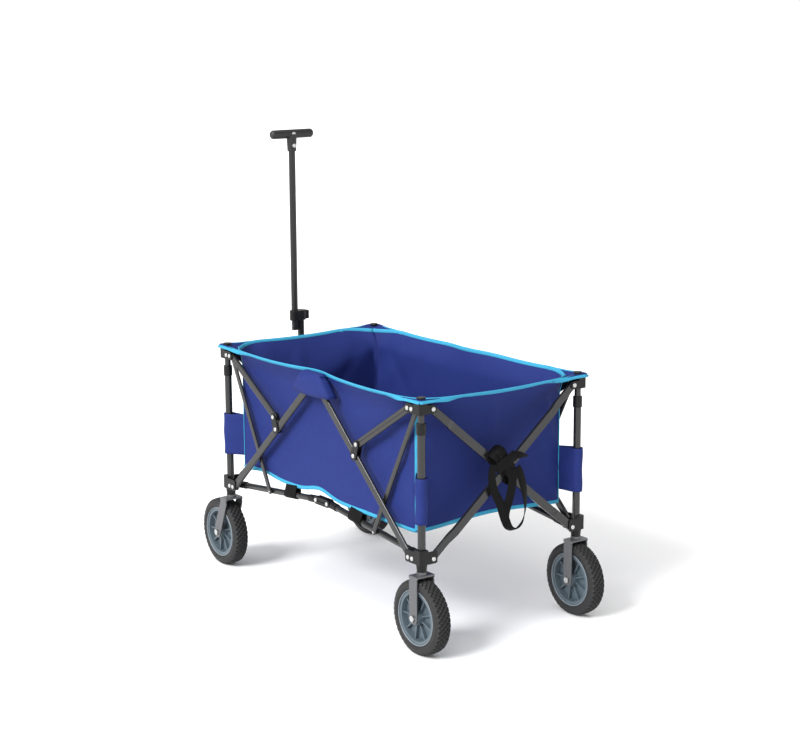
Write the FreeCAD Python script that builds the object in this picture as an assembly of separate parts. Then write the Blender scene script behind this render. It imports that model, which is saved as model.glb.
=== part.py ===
"""A folding beach cart: a fabric tub hung in a four-post frame that bunches together for storage.

Lengths are in millimetres. +X is the front, where the handle is, +Y is the cart's left and +Z is up.
The floor is z = 0. Corner pieces are drawn once, in a corner frame: u runs inward from the post along
the cart's length, w runs inward across its width, and z is height. place() moves them to each corner.
"""

import FreeCAD
import Part

import math
import os

V = FreeCAD.Vector

# Driving sizes of the open cart
POST_SPACING_X = 860.0
POST_SPACING_Y = 480.0
LOWER_PIVOT_Z = 232.0
UPPER_PIVOT_Z = 591.0
WHEEL_R = 92.0
CASTER_TRAIL = 35.0
# Post spacing of the folded cart
FOLDED_X = 230.0
FOLDED_Y = 120.0

# The front casters reach further out than the rear wheels, so the posts sit behind the origin
MID_X = -CASTER_TRAIL / 2
FRONT, REAR, LEFT, RIGHT = 1, -1, 1, -1
CORNERS = {
    "fl": (FRONT, LEFT),
    "fr": (FRONT, RIGHT),
    "rl": (REAR, LEFT),
    "rr": (REAR, RIGHT),
}

# Pivots, as distances from the post's axis
RAIL_PIVOT_U = 18.0
LONG_PIVOT_U = 34.0
SHORT_PIVOT_U = 34.0
STRUT_PIVOT_U = 18.0
END_PIVOT_W = 24.0
APEX_Z = 575.0
APEX_HALF = 18.0
RAIL_JOINT_RISE = 42.0
RAIL_JOINT_HALF = 25.0
SHORT_OFFSET = 30.0
# Half way through the fold the short bar's end comes this much nearer the post, at the most.
SHORT_DRIFT = 8.6

# Round sections
POST_R = 9.5
POST_BORE_R = 8.1
UPPER_R = 8.0
UPPER_BORE_R = 6.8
RAIL_R = 8.0
PIN_R = 3.0
HOLE_R = 3.08
FIT = 0.05
HEAD_R = 5.5
HEAD_T = 2.0

# Side layers, as w ranges: outer plate, flat bars, middle plate, strut, round rail
PLATE_OUT = (-15.2, -12.7)
BAR_LAYER = (-12.2, -4.2)
PLATE_MID = (-3.7, -1.2)
STRUT_LAYER = (-0.7, 5.3)
RAIL_W = 15.0
TONGUE = (10.0, 20.0)
CHEEK_OUT = (6.2, 9.4)
CHEEK_IN = (20.6, 23.4)
BAR_HALF = 10.0
STRUT_HALF = 7.0
BAR_WALL = 1.3
# How far a scissor bar's middle is set over, so that the two bars pass each other
SET_OVER = 4.6
KINK = (62.0, 84.0)


def polar(length, angle):
    """A step of this length at this angle above the horizontal."""
    return length * math.cos(angle), length * math.sin(angle)


def angle_for(length, run):
    """The angle at which a link of this length covers this horizontal run."""
    return math.acos(run / length)


# End scissors
RISE = UPPER_PIVOT_Z - LOWER_PIVOT_Z
END_RUN = POST_SPACING_Y - 2 * END_PIVOT_W
END_L = math.hypot(RISE, END_RUN)
END_OPEN = angle_for(END_L, END_RUN)
END_SHUT = angle_for(END_L, FOLDED_Y - 2 * END_PIVOT_W)
LIFT = END_L * math.sin(END_SHUT) - RISE
CROSS_Z = (LOWER_PIVOT_Z + UPPER_PIVOT_Z) / 2

# Bottom rails
RAIL_RUN = POST_SPACING_X / 2 - RAIL_PIVOT_U - RAIL_JOINT_HALF
RAIL_L = math.hypot(RAIL_RUN, RAIL_JOINT_RISE)
RAIL_OPEN = angle_for(RAIL_L, RAIL_RUN)
RAIL_SHUT = angle_for(RAIL_L, FOLDED_X / 2 - RAIL_PIVOT_U - RAIL_JOINT_HALF)

# Long bars
LONG_RUN = POST_SPACING_X / 2 - LONG_PIVOT_U - APEX_HALF
LONG_L = math.hypot(LONG_RUN, APEX_Z - LOWER_PIVOT_Z)
LONG_OPEN = angle_for(LONG_L, LONG_RUN)
LONG_SHUT = angle_for(LONG_L, FOLDED_X / 2 - LONG_PIVOT_U - APEX_HALF)


def link_seat(base_u, top_u, offset, open_angle, shut_angle):
    """How far along a lower bar a link from the upper bracket is seated, so that it fits open and shut."""
    ends = []
    for angle, lift in ((open_angle, 0.0), (shut_angle, LIFT)):
        run, rise = top_u - base_u, RISE + lift
        along = run * math.cos(angle) + rise * math.sin(angle)
        across = -run * math.sin(angle) + rise * math.cos(angle)
        ends.append((run * run + rise * rise, along, across))
    (far0, along0, across0), (far1, along1, across1) = ends
    return (far1 - far0 - 2 * offset * (across1 - across0)) / (2 * (along1 - along0))


def seat_point(base_u, along, offset, angle):
    """A point seated on a lower bar, in the corner frame's u and z."""
    run, rise = polar(along, angle)
    return (
        base_u + run - offset * math.sin(angle),
        LOWER_PIVOT_Z + rise + offset * math.cos(angle),
    )


SHORT_ALONG = link_seat(LONG_PIVOT_U, SHORT_PIVOT_U, SHORT_OFFSET, LONG_OPEN, LONG_SHUT)
SHORT_SEAT = seat_point(LONG_PIVOT_U, SHORT_ALONG, SHORT_OFFSET, LONG_OPEN)
SHORT_SEAT_SHUT = seat_point(LONG_PIVOT_U, SHORT_ALONG, SHORT_OFFSET, LONG_SHUT)
STRUT_ALONG = link_seat(RAIL_PIVOT_U, STRUT_PIVOT_U, 0.0, RAIL_OPEN, RAIL_SHUT)
STRUT_SEAT = seat_point(RAIL_PIVOT_U, STRUT_ALONG, 0.0, RAIL_OPEN)
STRUT_SEAT_SHUT = seat_point(RAIL_PIVOT_U, STRUT_ALONG, 0.0, RAIL_SHUT)

# Pull handle: the tubes stand side by side in front of the scissors' crossing
HANDLE_V = 38.0
HANDLE_R = 9.0
HANDLE_PITCH = 19.5
HANDLE_TRAVEL = 200.0
TILT_Z = 400.0
COLLAR_Z = (650.0, 677.0)
GRIP_Z = 1160.0
GRIP_HALF = 67.0
GRIP_R = 12.0

# Fabric tub, as distances of its corner seams from the posts
TUB_U = 40.0
TUB_W = 16.0
TUB_FLOOR_Z = 288.0
TUB_RIM_Z = 615.0
CLOTH = 2.4
SLEEVE_Z = (315.0, 428.0)


def box(x, y, z):
    """A block over three ranges."""
    return Part.makeBox(x[1] - x[0], y[1] - y[0], z[1] - z[0], V(x[0], y[0], z[0]))


def rod(start, end, radius):
    """A round bar between two points."""
    start, end = V(*start), V(*end)
    return Part.makeCylinder(radius, (end - start).Length, start, end - start)


def fused(shapes):
    """One solid from several that touch, without seams."""
    first, *rest = shapes
    return first.fuse(rest).removeSplitter()


def outline(points):
    """A flat face through these points."""
    corners = [V(*p) for p in points]
    return Part.Face(Part.makePolygon(corners + corners[:1]))


def belt(centres, radii, span, axis):
    """The plate that a belt round two circles encloses, over a range along u, w or z.

    The centres are given in the plane across that axis: (u, z) for "w", (w, z) for "u", (u, w) for "z".
    """
    (a0, b0), (a1, b1) = centres
    r0, r1 = radii
    gap = math.hypot(a1 - a0, b1 - b0)
    heading = math.atan2(b1 - b0, a1 - a0)
    lean = math.acos((r0 - r1) / gap)
    corners = []
    for (a, b), r, side in (
        ((a0, b0), r0, 1),
        ((a1, b1), r1, 1),
        ((a1, b1), r1, -1),
        ((a0, b0), r0, -1),
    ):
        turn = heading + side * lean
        corners.append((a + r * math.cos(turn), b + r * math.sin(turn)))
    start, step = span[0], span[1] - span[0]

    def lift(a, b, c):
        return {"u": (c, a, b), "w": (a, c, b), "z": (a, b, c)}[axis]

    way = V(*lift(0, 0, 1))
    solids = [outline([lift(a, b, start) for a, b in corners]).extrude(way * step)]
    for (a, b), r in (((a0, b0), r0), ((a1, b1), r1)):
        solids.append(Part.makeCylinder(r, step, V(*lift(a, b, start)), way))
    return fused(solids)


def rivet(point, span, axis, heads=(True, True)):
    """A rivet's shank over a range along u or w, with a domed head beyond either end of it."""
    a, b = point

    def lift(c):
        return (c, a, b) if axis == "u" else (a, c, b)

    solids = [rod(lift(span[0]), lift(span[1]), PIN_R)]
    for shown, end, out in ((heads[0], span[0], -1), (heads[1], span[1], 1)):
        if shown:
            solids.append(domed(lift(end), (V(*lift(1)) - V(*lift(0))) * out))
    return fused(solids)


def domed(point, way):
    """A rivet head standing on a point."""
    head = Part.makeCylinder(HEAD_R, HEAD_T, V(*point), way)
    edge = max((e for e in head.Edges), key=lambda e: (e.CenterOfMass - V(*point)).dot(way))
    return head.makeFillet(HEAD_T * 0.7, [edge])


def bored(shape, points, span, axis, radius=HOLE_R):
    """A shape with round holes across it."""
    for a, b in points:
        ends = [(c, a, b) if axis == "u" else (a, c, b) for c in span]
        shape = shape.cut(rod(*ends, radius))
    return shape


def eased(shape, radius, keep):
    """A shape with a fillet on the edges that keep() picks."""
    return shape.makeFillet(radius, [e for e in shape.Edges if keep(e)])


def place(shape, corner):
    """A corner-frame shape moved to one of the four corners."""
    side_x, side_y = CORNERS[corner]
    if side_x == FRONT:
        shape = shape.mirror(V(0, 0, 0), V(1, 0, 0))
    if side_y == LEFT:
        shape = shape.mirror(V(0, 0, 0), V(0, 1, 0))
    moved = shape.copy()
    moved.translate(V(post_x(side_x), side_y * POST_SPACING_Y / 2, 0))
    return moved


def post_x(side_x):
    return MID_X + side_x * POST_SPACING_X / 2


# --- posts -----------------------------------------------------------------------------------------

POST_Z = (206.0, 545.0)
COLLAR_TOP = 559.0
COLLAR_R = 11.5
UPPER_Z = (286.0, 608.0)


def lower_post():
    """Steel tube, and the plastic collar that the upper tube slides through."""
    tube = rod((0, 0, POST_Z[0]), (0, 0, POST_Z[1]), POST_R)
    tube = tube.cut(rod((0, 0, POST_Z[0] - 1), (0, 0, POST_Z[1] + 1), POST_BORE_R))
    collar = rod((0, 0, 531), (0, 0, COLLAR_TOP), COLLAR_R)
    collar = eased(collar, 1.5, lambda e: e.CenterOfMass.z > 558 or e.CenterOfMass.z < 532)
    collar = collar.cut(rod((0, 0, 530), (0, 0, POST_Z[1]), POST_R + FIT))
    collar = collar.cut(rod((0, 0, 530), (0, 0, 560), UPPER_R + 0.1))
    return Part.makeCompound([tube, collar])


def upper_post():
    """Thinner steel tube that slides in the lower one as the cart folds."""
    tube = rod((0, 0, UPPER_Z[0]), (0, 0, UPPER_Z[1]), UPPER_R)
    return tube.cut(rod((0, 0, UPPER_Z[0] - 1), (0, 0, UPPER_Z[1] + 1), UPPER_BORE_R))


# --- corner brackets -------------------------------------------------------------------------------

LOW_BLOCK = (221.0, 256.0)
TOP_BLOCK = (580.0, 610.0)
EDGE = PLATE_OUT[0]


def bracket_core(block, pivot_z, pivot_u, side_stop):
    """The L of a corner bracket: a block round the post, with fork plates for the side and end bars.
    Between the side plates it is solid out to side_stop."""
    side = ((4.0, pivot_z), (pivot_u, pivot_z))
    end = ((4.0, pivot_z), (END_PIVOT_W, pivot_z))
    end_stop = END_PIVOT_W - BAR_HALF - 0.6
    bar_band = (PLATE_OUT[0], PLATE_MID[1])
    return [
        box((EDGE, 8.4), (EDGE, 8.4), block),
        belt(side, (BAR_HALF + 1, BAR_HALF + 1), PLATE_OUT, "w"),
        belt(side, (BAR_HALF + 1, BAR_HALF + 1), PLATE_MID, "w"),
        belt(end, (BAR_HALF, BAR_HALF), PLATE_OUT, "u"),
        belt(end, (BAR_HALF, BAR_HALF), PLATE_MID, "u"),
        box((0, side_stop), bar_band, (pivot_z - 10, pivot_z + 10)),
        box(bar_band, (0, end_stop), (pivot_z - 10, pivot_z + 10)),
    ]


def plate(run, heights, layer, axis):
    """A flat upright plate with rounded corners, in one layer, facing along the axis."""
    shape = box(run, layer, heights) if axis == "w" else box(layer, run, heights)
    thick = layer[1] - layer[0]
    return eased(shape, 5.0, lambda e: abs(e.Length - thick) < 0.01)


def rounded_corner(shape):
    """The bracket's outer upright edge, rounded."""
    return eased(
        shape,
        5.0,
        lambda e: (
            abs(e.CenterOfMass.x - EDGE) < 0.01 and abs(e.CenterOfMass.y - EDGE) < 0.01
        ),
    )


def lower_bracket():
    """Bottom corner: carries the rail, the long bar and one end of the scissors."""
    z = LOWER_PIVOT_Z
    rail = ((6.0, z), (RAIL_PIVOT_U, z))
    solids = bracket_core(LOW_BLOCK, z, LONG_PIVOT_U, LONG_PIVOT_U - BAR_HALF - 0.6)
    tall = (LOW_BLOCK[0], LOW_BLOCK[1] - 5.0)
    solids += [
        plate((-4.0, LONG_PIVOT_U + BAR_HALF + 1), tall, PLATE_OUT, "w"),
        plate((-4.0, END_PIVOT_W + BAR_HALF + 1), tall, PLATE_OUT, "u"),
        belt(rail, (9.0, 9.0), CHEEK_OUT, "w"),
        belt(rail, (9.0, 9.0), CHEEK_IN, "w"),
        box((PLATE_MID[0], 8.2), (0, CHEEK_IN[1]), (z - 9, z + 9)),
    ]
    body = rounded_corner(fused(solids))
    nose = Part.makeCone(11.8, 13.6, LOW_BLOCK[0] - 204, V(0, 0, 204))
    body = fused([body, nose]).cut(rod((0, 0, 203), (0, 0, 257), POST_R + FIT))
    bar_span = (PLATE_OUT[0], PLATE_MID[1])
    rail_span = (CHEEK_OUT[0], CHEEK_IN[1])
    body = bored(body, [(LONG_PIVOT_U, z)], (-20, 0), "w")
    body = bored(body, [(RAIL_PIVOT_U, z)], (5, 30), "w")
    body = bored(body, [(END_PIVOT_W, z)], (-20, 0), "u")
    pins = [
        rivet((LONG_PIVOT_U, z), bar_span, "w"),
        rivet((RAIL_PIVOT_U, z), rail_span, "w", (False, True)),
        rivet((END_PIVOT_W, z), bar_span, "u", (True, False)),
        domed((RAIL_PIVOT_U, PLATE_OUT[0], z), V(0, -1, 0)),
    ]
    return Part.makeCompound([body] + pins)


def upper_bracket():
    """Top corner: holds the strut and the scissors, and forks round the short bar. It has a cap."""
    z = UPPER_PIVOT_Z
    strut_in = (5.8, 8.3)
    strut = ((0.0, z), (STRUT_PIVOT_U, z))
    solids = bracket_core(TOP_BLOCK, z, SHORT_PIVOT_U, SHORT_PIVOT_U - BAR_HALF - SHORT_DRIFT)
    solids.append(belt(strut, (8.0, 8.0), strut_in, "w"))
    body = rounded_corner(fused(solids))
    slot = belt(
        ((STRUT_PIVOT_U, z), (STRUT_PIVOT_U + 40, z)),
        (STRUT_HALF + 0.4, STRUT_HALF + 0.4),
        (PLATE_MID[1], strut_in[0]),
        "w",
    )
    body = body.cut(slot).cut(rod((0, 0, 570), (0, 0, UPPER_Z[1]), UPPER_R + FIT))
    body = bored(body, [(STRUT_PIVOT_U, z)], (PLATE_MID[0] - 0.1, 9), "w")
    body = bored(body, [(END_PIVOT_W, z)], (-20, 0), "u")
    cap = fused(
        [
            rod((0, 0, TOP_BLOCK[1]), (0, 0, 615.4), 7.0),
            rod((0, 0, 615.4), (0, 0, 620), 11.0),
        ]
    )
    cap = eased(cap, 2.5, lambda e: e.CenterOfMass.z > 619.9)
    pins = [
        rivet((STRUT_PIVOT_U, z), (PLATE_MID[0], strut_in[1]), "w", (False, True)),
        domed((STRUT_PIVOT_U, PLATE_OUT[0], z), V(0, -1, 0)),
        rivet((END_PIVOT_W, z), (PLATE_OUT[0], PLATE_MID[1]), "u"),
        domed((SHORT_PIVOT_U, PLATE_OUT[0], z), V(0, -1, 0)),
    ]
    return Part.makeCompound([body, cap] + pins)


# --- side linkage ----------------------------------------------------------------------------------


def flat_bar(start, end, half, layer):
    """A flat-oval tube between two pivots, with holes for their rivets."""
    bar = belt((start, end), (half, half - 0.001), layer, "w")
    thick = layer[1] - layer[0]
    bar = bar.makeFillet(thick * 0.42, [e for e in bar.Edges if flat_edge(e, layer)])
    cavity = (layer[0] + BAR_WALL, layer[1] - BAR_WALL)
    bar = bar.cut(belt((start, end), (half - 2.4, half - 2.401), cavity, "w"))
    return bored(bar, [start, end], (layer[0] - 1, layer[1] + 1), "w")


def flat_edge(edge, layer):
    """True for an edge that lies in either broad face of a flat bar."""
    w = edge.CenterOfMass.y
    return min(abs(w - layer[0]), abs(w - layer[1])) < 0.01


APEX = (POST_SPACING_X / 2 - APEX_HALF, APEX_Z)
RAIL_JOINT_Z = LOWER_PIVOT_Z + RAIL_JOINT_RISE
RAIL_END = (POST_SPACING_X / 2 - RAIL_JOINT_HALF, RAIL_JOINT_Z)


def on_long_bar(along, offset=0.0):
    return seat_point(LONG_PIVOT_U, along, offset, LONG_OPEN)


def long_bar():
    """Diagonal side bar from the bottom corner to the apex, with the clip that carries the short bar."""
    bar = flat_bar((LONG_PIVOT_U, LOWER_PIVOT_Z), APEX, BAR_HALF, BAR_LAYER)
    clip_point = on_long_bar(SHORT_ALONG - 12)
    plates = []
    for layer in (PLATE_OUT, PLATE_MID):
        ear = belt((clip_point, SHORT_SEAT), (BAR_HALF + 2, BAR_HALF), layer, "w")
        plates.append(bored(ear, [clip_point, SHORT_SEAT], (-20, 0), "w"))
    bar = bored(bar, [clip_point], (-20, 0), "w")
    web_at = on_long_bar(SHORT_ALONG - 6, BAR_HALF + 3.5)
    web = rod((web_at[0], PLATE_OUT[1], web_at[1]), (web_at[0], PLATE_MID[0], web_at[1]), 3.0)
    clip = fused(plates + [web])
    span = (PLATE_OUT[0], PLATE_MID[1])
    pins = [
        rivet(clip_point, span, "w", (True, False)),
        rivet(SHORT_SEAT, span, "w", (True, False)),
    ]
    return Part.makeCompound([bar, clip] + pins)


def short_bar():
    """Bar from the long bar's clip up to the top corner's fork."""
    return flat_bar(SHORT_SEAT, (SHORT_PIVOT_U, UPPER_PIVOT_Z), BAR_HALF, BAR_LAYER)


def strut():
    """Thin bar from the top corner down to the rail. Its lower rivet is its own."""
    bar = flat_bar(STRUT_SEAT, (STRUT_PIVOT_U, UPPER_PIVOT_Z), STRUT_HALF, STRUT_LAYER)
    pin = rivet(STRUT_SEAT, (STRUT_LAYER[0] - 0.2, STRUT_LAYER[1]), "w", (False, False))
    return Part.makeCompound([bar, pin])


def rail():
    """Round bottom tube with a flat plastic tongue at each end and a boss for the strut."""
    start = (RAIL_PIVOT_U, LOWER_PIVOT_Z)

    def along(s):
        run, rise = polar(s, RAIL_OPEN)
        return start[0] + run, start[1] + rise

    (u0, z0), (u1, z1) = along(26), along(RAIL_L - 22)
    tube = rod((u0, RAIL_W, z0), (u1, RAIL_W, z1), RAIL_R)
    tube = tube.cut(rod((u0, RAIL_W, z0), (u1, RAIL_W, z1), RAIL_R - BAR_WALL))
    solids = []
    for pivot, near, far in ((start, 26, 40), (RAIL_END, RAIL_L - 22, RAIL_L - 36)):
        (a, b), (c, d) = along(near), along(far)
        sleeve = rod((a, RAIL_W, b), (c, RAIL_W, d), RAIL_R + 1.6)
        sleeve = sleeve.cut(rod((a, RAIL_W, b), (c, RAIL_W, d), RAIL_R + FIT))
        shoulder_start = along(17 if near < 100 else RAIL_L - 13)
        tongue = belt((pivot, shoulder_start), (8.5, 8.499), TONGUE, "w")
        neck = rod((shoulder_start[0], RAIL_W, shoulder_start[1]), (a, RAIL_W, b), RAIL_R + 1.6)
        neck = neck.common(box((-50, 600), (RAIL_W - 8.8, RAIL_W + 8.8), (0, 700)))
        solids.append(bored(fused([tongue, neck, sleeve]), [pivot], (5, 25), "w"))
    seat_u, seat_z = STRUT_SEAT
    boss = rod((seat_u, STRUT_LAYER[1] + 0.4, seat_z), (seat_u, RAIL_W, seat_z), 6.0)
    boss = boss.cut(rod((u0, RAIL_W, z0), (u1, RAIL_W, z1), RAIL_R))
    return Part.makeCompound([tube, boss] + solids)


def rail_joint(open_side):
    """Plastic knuckle between the two rails of a side. The rear pivot is open on one side of the cart."""
    pivots = ((-RAIL_JOINT_HALF, RAIL_JOINT_Z), (RAIL_JOINT_HALF, RAIL_JOINT_Z))
    plates = [belt(pivots, (10.0, 9.999), layer, "w") for layer in (CHEEK_OUT, CHEEK_IN)]
    web = box((-13.5, 13.5), (CHEEK_OUT[0], CHEEK_IN[1]), (RAIL_JOINT_Z - 9, RAIL_JOINT_Z + 9))
    body = fused(plates + [web])
    span = (CHEEK_OUT[0], CHEEK_IN[1])
    solids = []
    for (a, z), is_open in zip(pivots, (open_side, False)):
        if is_open:
            solids.append(domed((a, span[0], z), V(0, -1, 0)))
            solids.append(domed((a, span[1], z), V(0, 1, 0)))
        else:
            body = bored(body, [(a, z)], (0, 30), "w")
            solids.append(rivet((a, z), span, "w"))
    return Part.makeCompound([body] + solids)


def apex_joint():
    """Plastic knuckle where the long bars meet. The rear bar sits in it without a pin."""
    pivots = ((-APEX_HALF, APEX_Z), (APEX_HALF, APEX_Z))
    plates = [belt(pivots, (11.0, 10.999), layer, "w") for layer in (PLATE_OUT, PLATE_MID)]
    web = box((-5.0, 5.0), (PLATE_OUT[0], PLATE_MID[1]), (APEX_Z - 9.0, APEX_Z + 9.0))
    body = bored(fused(plates + [web]), [pivots[1]], (-20, 0), "w")
    pin = rivet(pivots[1], (PLATE_OUT[0], PLATE_MID[1]), "w", (True, False))
    head = domed((-APEX_HALF, PLATE_OUT[0], APEX_Z), V(0, -1, 0))
    return Part.makeCompound([body, pin, head])


def place_centre(shape, side_y):
    """A centre joint, drawn with x toward the front and w inward, moved to its side of the cart."""
    if side_y == LEFT:
        shape = shape.mirror(V(0, 0, 0), V(0, 1, 0))
    moved = shape.copy()
    moved.translate(V(MID_X, side_y * POST_SPACING_Y / 2, 0))
    return moved


# --- end scissors ----------------------------------------------------------------------------------


def cranked(ends, v_span, half):
    """A bar with rounded ends whose middle is set over in v, drawn along +X."""
    line = [(s, v_span[0] + dv) for s, dv in ends]
    line += [(s, v_span[1] + dv) for s, dv in reversed(ends)]
    strip = outline([(s, -half, v) for s, v in line]).extrude(V(0, 2 * half, 0))
    plan = belt(((0.0, 0.0), (END_L, 0.0)), (half, half - 0.001), (-20.0, 40.0), "z")
    return strip.common(plan)


def broad_edge(edge, v_span):
    """True for the straight edges of a cranked bar's end lengths, and for its rounded ends."""
    mid = edge.CenterOfMass
    on_face = min(abs(mid.z - v_span[0]), abs(mid.z - v_span[1])) < 0.01
    return on_face and abs(mid.y) > 1.0 and edge.Length > 12.0


def scissor(side_x, low_side, outward, pin_span=None):
    """A flat-oval scissor bar, cranked outward or inward so that it passes the other at the crossing.

    v runs outward from the post's plane. low_side is the side of the cart its lower end is on. The bar is
    drawn along +X from its lower pivot, with v along +Z, and then turned into place.
    """
    shift = SET_OVER if outward else -SET_OVER
    v_low, v_high = 4.2, 12.2
    a, b = KINK
    ends = ((-BAR_HALF, 0), (a, 0), (b, shift), (END_L - b, shift), (END_L - a, 0), (END_L + BAR_HALF, 0))
    bar = cranked(ends, (v_low, v_high), BAR_HALF)
    bar = eased(bar, 2.4, lambda e: broad_edge(e, (v_low, v_high)))
    bar = bar.cut(cranked(ends, (v_low + BAR_WALL, v_high - BAR_WALL), BAR_HALF - 2.4))
    half = END_L / 2
    for s, radius in ((0.0, HOLE_R), (half, HOLE_R), (END_L, HOLE_R)):
        bar = bar.cut(rod((s, 0, -20), (s, 0, 40), radius))
    solids = [bar]
    if pin_span:
        solids.append(rod((half, 0, pin_span[0]), (half, 0, pin_span[1]), PIN_R))
        solids.append(domed((half, 0, pin_span[1]), V(0, 0, 1)))
        solids.append(domed((half, 0, pin_span[0]), V(0, 0, -1)))
    shape = Part.makeCompound(solids)
    # Stand it up: v to +X, the bar's length into the Y-Z plane, rising from -Y
    shape.rotate(V(0, 0, 0), V(0, 0, 1), 90)
    shape.rotate(V(0, 0, 0), V(0, 1, 0), 90)
    shape.rotate(V(0, 0, 0), V(1, 0, 0), math.degrees(END_OPEN))
    if side_x == REAR:
        shape = shape.mirror(V(0, 0, 0), V(1, 0, 0))
    if low_side == LEFT:
        shape = shape.mirror(V(0, 0, 0), V(0, 1, 0))
    moved = shape.copy()
    moved.translate(V(post_x(side_x), low_side * END_RUN / 2, LOWER_PIVOT_Z))
    return moved


# --- wheels ----------------------------------------------------------------------------------------

TYRE_HALF = 21.0
RIM_R = 66.0
FORK_IN = 23.5
FORK_T = 2.6
AXLE_R = 4.92
HUB_R = 5.0


def fork(trail):
    """Steel wheel fork. The stem turns in the post, and the axle is set out from it by the trail."""
    z = WHEEL_R
    legs = []
    for y in (-FORK_IN - FORK_T, FORK_IN):
        legs.append(belt(((0.0, 180.0), (-trail, z)), (15.0, 14.999), (y, y + FORK_T), "w"))
    crown = box((-16, 16), (-FORK_IN - FORK_T, FORK_IN + FORK_T), (188, 195))
    shape = fused(legs + [crown])
    shape = shape.cut(box((-60, 60), (-40, 40), (195, 230)))
    shape = shape.cut(box((-60, 60), (-FORK_IN, FORK_IN), (60, 191)))
    shape = bored(shape, [(-trail, z)], (-40, 40), "w", AXLE_R)
    race = rod((0, 0, 195), (0, 0, 202.5), 12.5)
    stem = rod((0, 0, 202.5), (0, 0, 262), POST_BORE_R - 0.08)
    axle = rod((-trail, -FORK_IN - FORK_T, z), (-trail, FORK_IN + FORK_T, z), AXLE_R)
    nuts = []
    for side in (-1, 1):
        start = side * (FORK_IN + FORK_T)
        points = [polar(8.0, math.radians(60 * n)) for n in range(6)]
        face = outline([(-trail + a, start, z + b) for a, b in points])
        nuts.append(face.extrude(V(0, side * 5, 0)))
    return Part.makeCompound([shape, race, stem, fused([axle] + nuts)])


def turned(profile, centre):
    """A solid turned about the wheel's axle. The profile is (radius, y) points."""
    face = outline([(centre[0] + r, centre[1] + y, centre[2]) for r, y in profile])
    return face.revolve(V(*centre), V(0, 1, 0), 360)


def tyre(centre):
    """Foam tyre with a rounded crown."""
    profile = [(RIM_R, -17), (70, -19), (78, -TYRE_HALF), (86, -19.5), (WHEEL_R, -13)]
    profile += [(r, -y) for r, y in reversed(profile)]
    return turned(profile, centre)


def rim(centre):
    """Closed plastic rim with ribs on both faces and a hub drum."""
    half = [(HUB_R, 22.5), (17, 22.5), (19, 5), (54, 3.5), (57, 17.5), (RIM_R, 17)]
    body = turned([(r, -y) for r, y in half] + list(reversed(half)), centre)
    rib = box((17.5, 56), (-13, 13), (-1.6, 1.6))
    ribs = []
    for n in range(9):
        turned_rib = rib.copy()
        turned_rib.rotate(V(0, 0, 0), V(0, 1, 0), 40 * n)
        turned_rib.translate(V(*centre))
        ribs.append(turned_rib)
    return fused([body] + ribs)


# --- pull handle -----------------------------------------------------------------------------------


def at_front(shape):
    """A front-centre shape, drawn with v along X, moved to the front posts' plane."""
    moved = shape.copy()
    moved.translate(V(post_x(FRONT), 0, 0))
    return moved


BRACKET_V = (18.0, 21.0)
TUBE_Y = -HANDLE_PITCH


def handle_bracket():
    """Plate on the crossing's pivot, with two ears that carry the handle's hinge."""
    plate = belt(((0.0, CROSS_Z), (TUBE_Y, TILT_Z)), (12.0, 16.0), BRACKET_V, "u")
    plate = bored(plate, [(0.0, CROSS_Z)], (10, 30), "u")
    ears = []
    for y in (TUBE_Y - HANDLE_R - 3.4, TUBE_Y + HANDLE_R + 0.6):
        arm = belt(((BRACKET_V[1], TILT_Z), (HANDLE_V, TILT_Z)), (11.0, 10.0), (y, y + 2.8), "w")
        ears.append(arm.common(box((BRACKET_V[0], 60), (-60, 60), (300, 500))))
    body = bored(fused([plate] + ears), [(HANDLE_V, TILT_Z)], (-60, 30), "w")
    span = (TUBE_Y - HANDLE_R - 3.4, TUBE_Y + HANDLE_R + 3.4)
    return Part.makeCompound([body, rivet((HANDLE_V, TILT_Z), span, "w")])


def handle_lower():
    """Lower handle tube with the plastic collar that holds and clamps the upper tube."""
    tube = rod((HANDLE_V, TUBE_Y, TILT_Z - 7), (HANDLE_V, TUBE_Y, COLLAR_Z[1] - 3), HANDLE_R)
    tube = tube.cut(rod((HANDLE_V, TUBE_Y, 380), (HANDLE_V, TUBE_Y, COLLAR_Z[1] - 5), HANDLE_R - BAR_WALL))
    tube = bored(tube, [(HANDLE_V, TILT_Z)], (-60, 30), "w")
    block = fused(
        [
            belt(((HANDLE_V, 0.0), (HANDLE_V, TUBE_Y)), (14.0, 13.999), COLLAR_Z, "z"),
            box((HANDLE_V - 8, HANDLE_V + 8), (TUBE_Y - 22, TUBE_Y), (COLLAR_Z[0] + 2, COLLAR_Z[1] - 2)),
        ]
    )
    block = block.cut(rod((HANDLE_V, TUBE_Y, 600), (HANDLE_V, TUBE_Y, COLLAR_Z[1] - 3), HANDLE_R + FIT))
    block = block.cut(rod((HANDLE_V, 0, 600), (HANDLE_V, 0, 700), HANDLE_R + 0.08))
    return Part.makeCompound([tube, block])


def handle_upper():
    """Upper handle tube with the end fitting that stops it in the collar."""
    tube = rod((HANDLE_V, 0, 627), (HANDLE_V, 0, GRIP_Z - GRIP_R), HANDLE_R)
    tube = tube.cut(rod((HANDLE_V, 0, 627), (HANDLE_V, 0, GRIP_Z - GRIP_R), HANDLE_R - BAR_WALL))
    plug = fused(
        [
            rod((HANDLE_V, 0, 623), (HANDLE_V, 0, 627), HANDLE_R),
            rod((HANDLE_V, HANDLE_R - 1, 634), (HANDLE_V, HANDLE_R + 2.5, 634), 3.5),
        ]
    )
    return Part.makeCompound([tube, plug.cut(tube)])


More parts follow.
